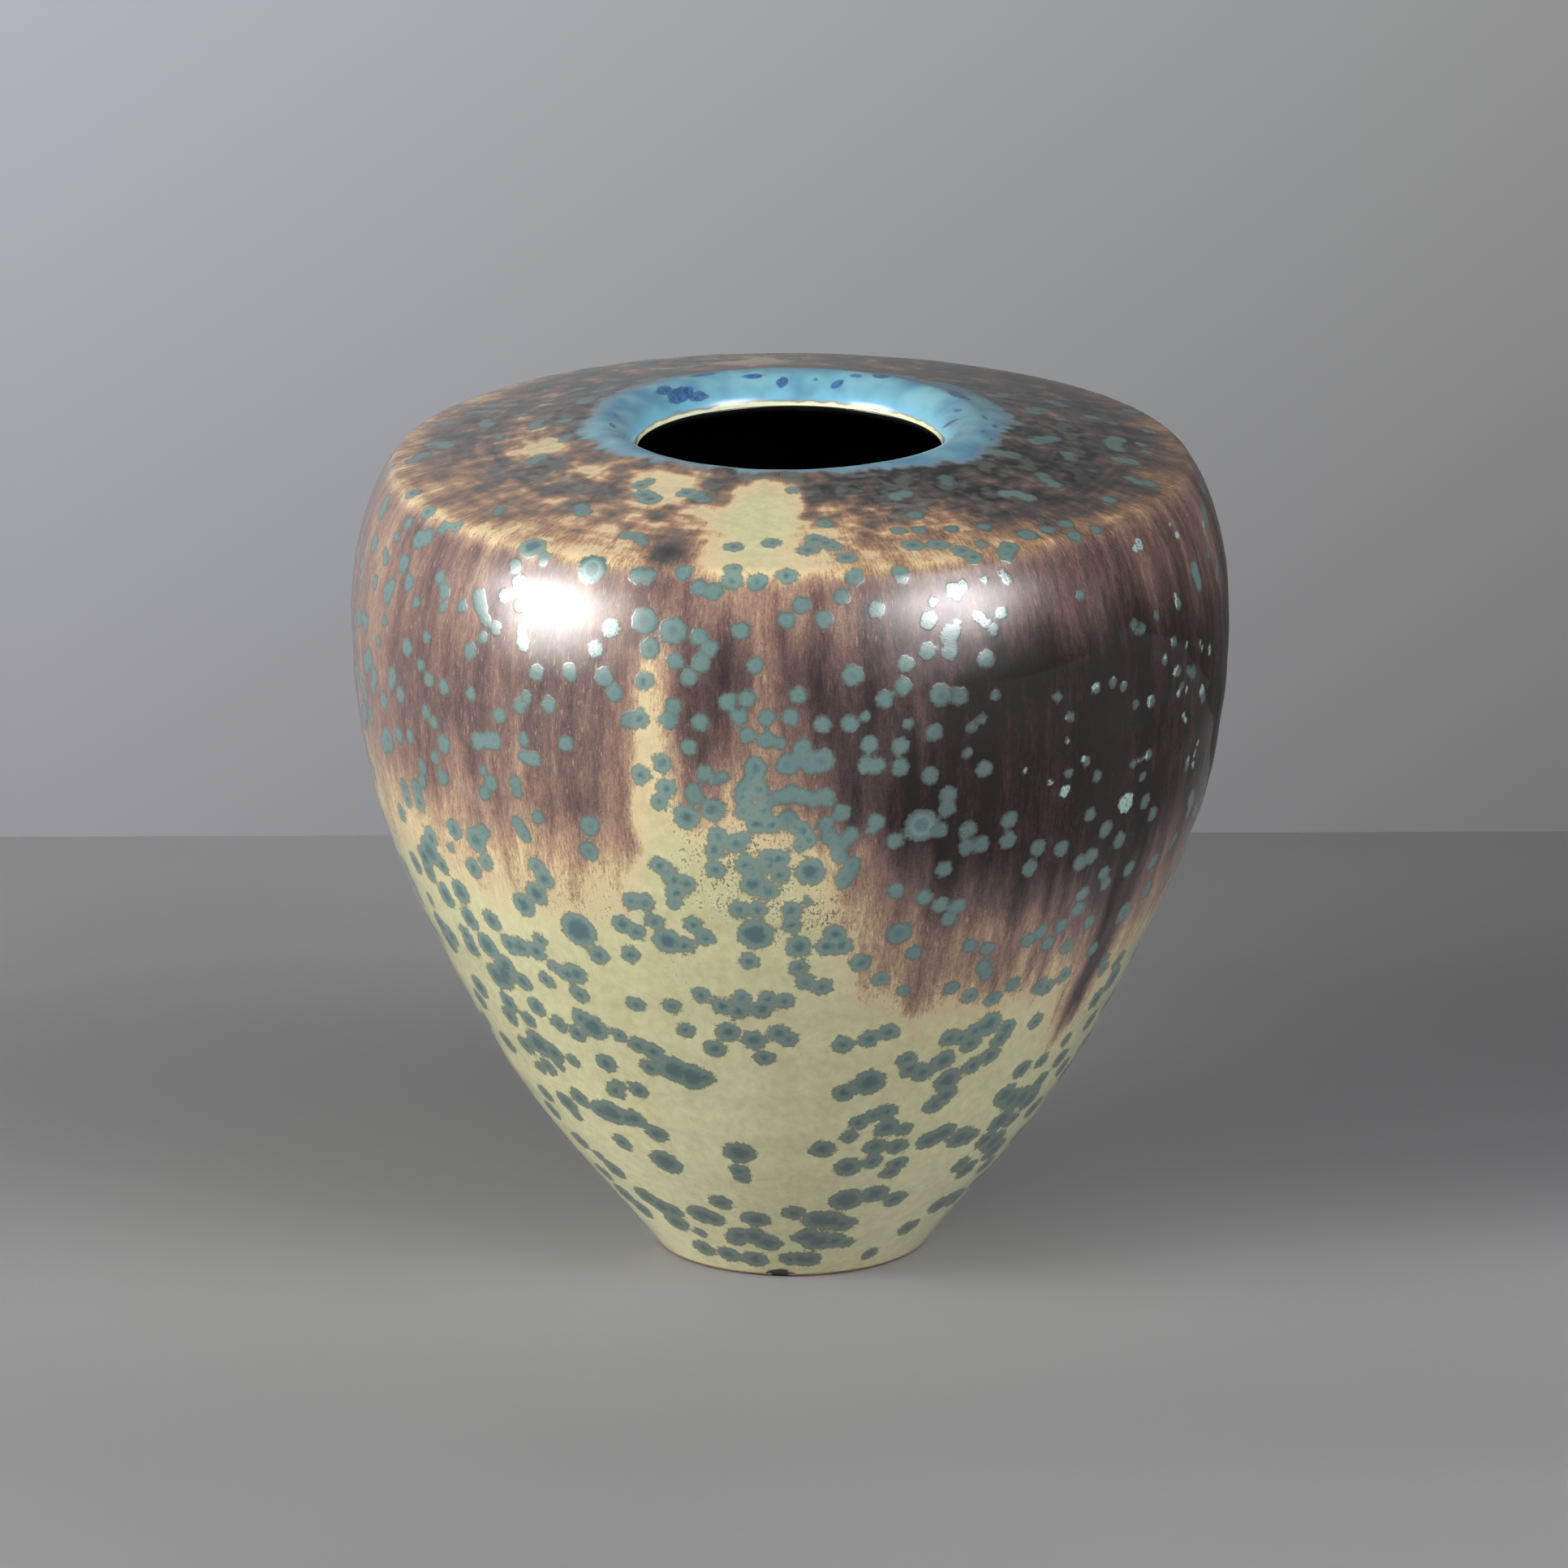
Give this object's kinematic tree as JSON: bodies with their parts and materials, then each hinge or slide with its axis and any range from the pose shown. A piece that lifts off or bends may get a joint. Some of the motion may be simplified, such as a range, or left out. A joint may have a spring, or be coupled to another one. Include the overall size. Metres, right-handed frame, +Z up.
{
  "type": "stoneware vase",
  "caption": "Round closed-in stoneware vase with a rolled mouth, a soft shoulder ridge and a narrow turned foot; crystalline, brown and blue glazes. Holds stems and water.",
  "frame": {"origin": "centre of the foot's resting plane", "axes": "+Z up along the turning axis, -Y towards the viewer's front"},
  "size_m": [0.2396, 0.2396, 0.2337],
  "materials": {
    "clay": "bare fired stoneware, matt",
    "cream_crystal_glaze": "glossy cream glaze with teal zinc crystals",
    "iron_brown_glaze": "glossy streaked iron-brown glaze",
    "blue_glaze": "glossy blue glaze with cobalt blotches",
    "pale_glaze": "glossy pale glaze broken thin over the edge",
    "dark_glaze": "glossy near-black liner"
  },
  "bodies": {
    "root": {"clay_body": "clay", "base_glaze": "cream_crystal_glaze", "brown_overglaze": "iron_brown_glaze", "collar_glaze": "blue_glaze", "lip_glaze": "pale_glaze", "liner_glaze": "dark_glaze"}
  },
  "joints": []
}
